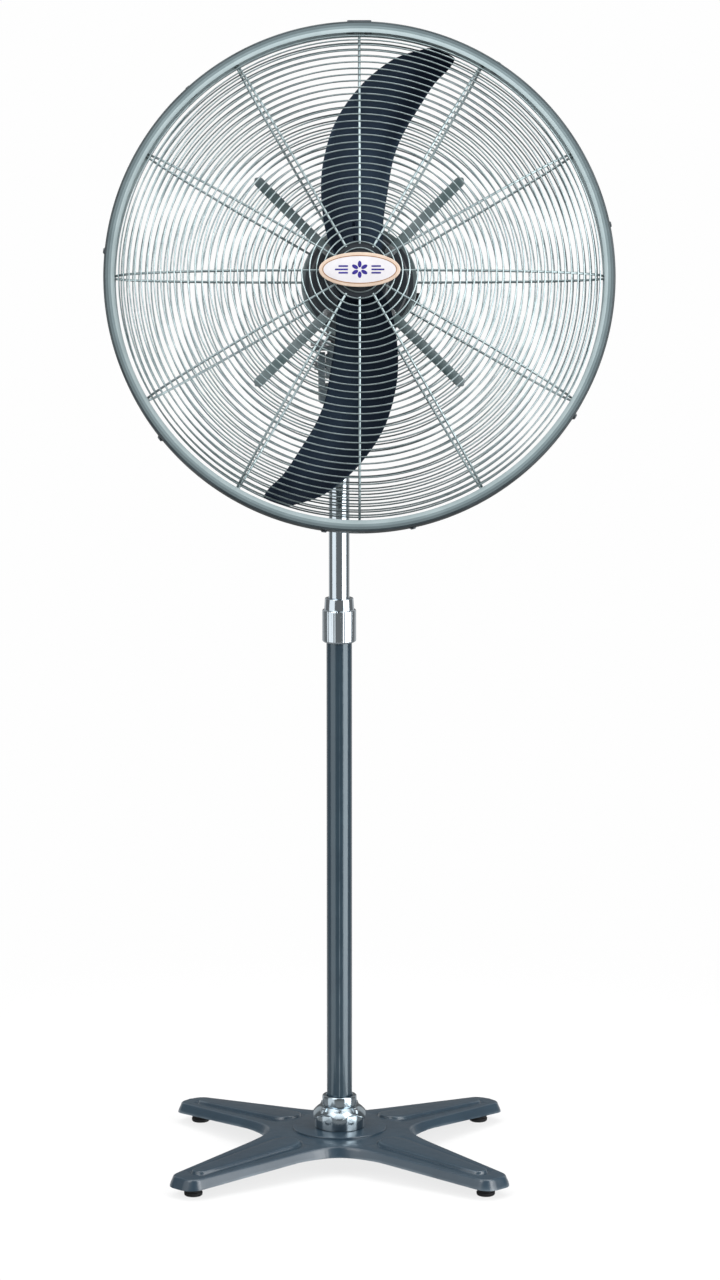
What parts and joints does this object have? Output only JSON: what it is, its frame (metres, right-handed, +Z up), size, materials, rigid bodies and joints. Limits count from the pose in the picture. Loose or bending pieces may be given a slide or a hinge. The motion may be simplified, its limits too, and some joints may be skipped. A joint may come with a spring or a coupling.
{
  "type": "pedestal fan",
  "caption": "Industrial pedestal fan with an S-shaped two-blade impeller in a round wire guard, on a telescopic pole and a cross-shaped cast base.",
  "frame": {"origin": "on the floor, under the middle of the object's bounding box", "axes": "+Z up; the fan blows towards -Y; +X is the viewer's right when facing the front guard"},
  "size_m": [0.8018, 0.5644, 1.8558],
  "materials": {
    "base_paint": "semi-gloss blue-grey paint",
    "neck_paint": "semi-gloss grey paint",
    "motor_paint": "satin dark grey paint",
    "rim_paint": "semi-gloss light grey paint",
    "strap_paint": "satin grey paint",
    "blade_gloss": "high-gloss black paint",
    "guard_wire": "bright plated wire",
    "chrome": "polished chrome",
    "steel": "zinc-plated steel",
    "laminations": "varnished laminations and winding",
    "brass": "machined",
    "rubber": "matt",
    "black_plastic": "fine texture",
    "nylon": "natural nylon",
    "badge_enamel": "glossy printed enamel"
  },
  "bodies": {
    "base": {"base_casting": "base_paint", "foot_fl": "rubber", "foot_fr": "rubber", "foot_bl": "rubber", "foot_br": "rubber", "base_flange": "chrome", "flange_bolt_1": "chrome", "flange_bolt_2": "chrome", "flange_bolt_3": "chrome", "flange_bolt_4": "chrome", "lower_tube": "base_paint", "pole_bush": "nylon"},
    "collar": {"lock_collar": "chrome"},
    "mast": {"upper_tube": "chrome", "tube_plug": "nylon", "neck_yoke": "neck_paint", "yoke_screw": "steel", "tilt_bolt": "steel"},
    "tilt_knob": {"tilt_knob": "black_plastic"},
    "neck": {"tilt_block": "neck_paint", "pivot_shaft": "steel", "link_pin": "steel"},
    "head": {"motor_shell": "motor_paint", "front_bell": "motor_paint", "stator": "laminations", "bearing_front": "steel", "bearing_rear": "steel", "gearbox_housing": "motor_paint", "switch_box": "black_plastic", "cord_gland": "black_plastic", "rear_guard": "guard_wire", "front_guard": "guard_wire", "rim_band": "rim_paint", "badge_plate": "badge_enamel", "guard_strap_1": "strap_paint", "guard_strap_2": "strap_paint", "guard_strap_3": "strap_paint", "guard_strap_4": "strap_paint", "guard_screw_1": "steel", "guard_screw_2": "steel", "guard_screw_3": "steel", "guard_screw_4": "steel", "rim_clip_1": "neck_paint", "rim_clip_2": "neck_paint", "rim_clip_3": "neck_paint", "rim_clip_4": "neck_paint", "rim_clip_5": "neck_paint", "rim_clip_6": "neck_paint", "rim_clip_7": "neck_paint", "rim_clip_8": "neck_paint", "rim_joint_plate": "neck_paint"},
    "rotor": {"rotor_core": "steel", "motor_shaft": "steel", "impeller": "blade_gloss", "spinner_nut": "black_plastic"},
    "crank": {"crank": "steel", "worm_wheel": "brass"},
    "link": {"crank_link": "steel"},
    "clutch": {"clutch_knob": "black_plastic"},
    "speed": {"speed_knob": "black_plastic"}
  },
  "joints": [
    {"name": "height", "type": "slide", "parent": "base", "child": "mast", "axis": [0, 0, 1], "range_m": [-0.28, 0.2]},
    {"name": "collar_turn", "type": "hinge", "parent": "base", "child": "collar", "pos_m": [-0.03112, 0.00921, 0.891], "axis": [0, 0, 1], "range_deg": [0, 180]},
    {"name": "tilt", "type": "hinge", "parent": "mast", "child": "neck", "pos_m": [-0.03112, 0.00921, 1.302], "axis": [-1, 0, 0], "range_deg": [-27, 13]},
    {"name": "tilt_knob_turn", "type": "hinge", "parent": "mast", "child": "tilt_knob", "pos_m": [0.00888, 0.00921, 1.302], "axis": [1, 0, 0], "range_deg": [0, 360]},
    {"name": "oscillation", "type": "hinge", "parent": "neck", "child": "head", "pos_m": [-0.03112, 0.01544, 1.33134], "axis": [0, 0.2079, 0.9781], "range_deg": [-40, 40]},
    {"name": "impeller_spin", "type": "hinge", "parent": "head", "child": "rotor", "pos_m": [0.00088, -0.14541, 1.45959], "axis": [0, -0.9781, 0.2079], "continuous": true},
    {"name": "crank_swing", "type": "hinge", "parent": "head", "child": "crank", "pos_m": [-0.03112, 0.08641, 1.32853], "axis": [0, 0.2079, 0.9781], "range_deg": [-60, 60]},
    {"name": "link_swing", "type": "hinge", "parent": "crank", "child": "link", "pos_m": [-0.05412, 0.08475, 1.3207], "axis": [0, 0.2079, 0.9781], "range_deg": [-60, 60]},
    {"name": "clutch_pull", "type": "slide", "parent": "head", "child": "clutch", "axis": [0, 0.2079, 0.9781], "range_m": [0, 0.008]},
    {"name": "speed_turn", "type": "hinge", "parent": "head", "child": "speed", "pos_m": [0.07888, 0.1004, 1.39916], "axis": [1, 0, 0], "range_deg": [0, 120]}
  ],
  "couplings": [
    {"joint": "crank_swing", "follows": "oscillation", "ratio": -1.5},
    {"joint": "link_swing", "follows": "oscillation", "ratio": 1.5}
  ]
}
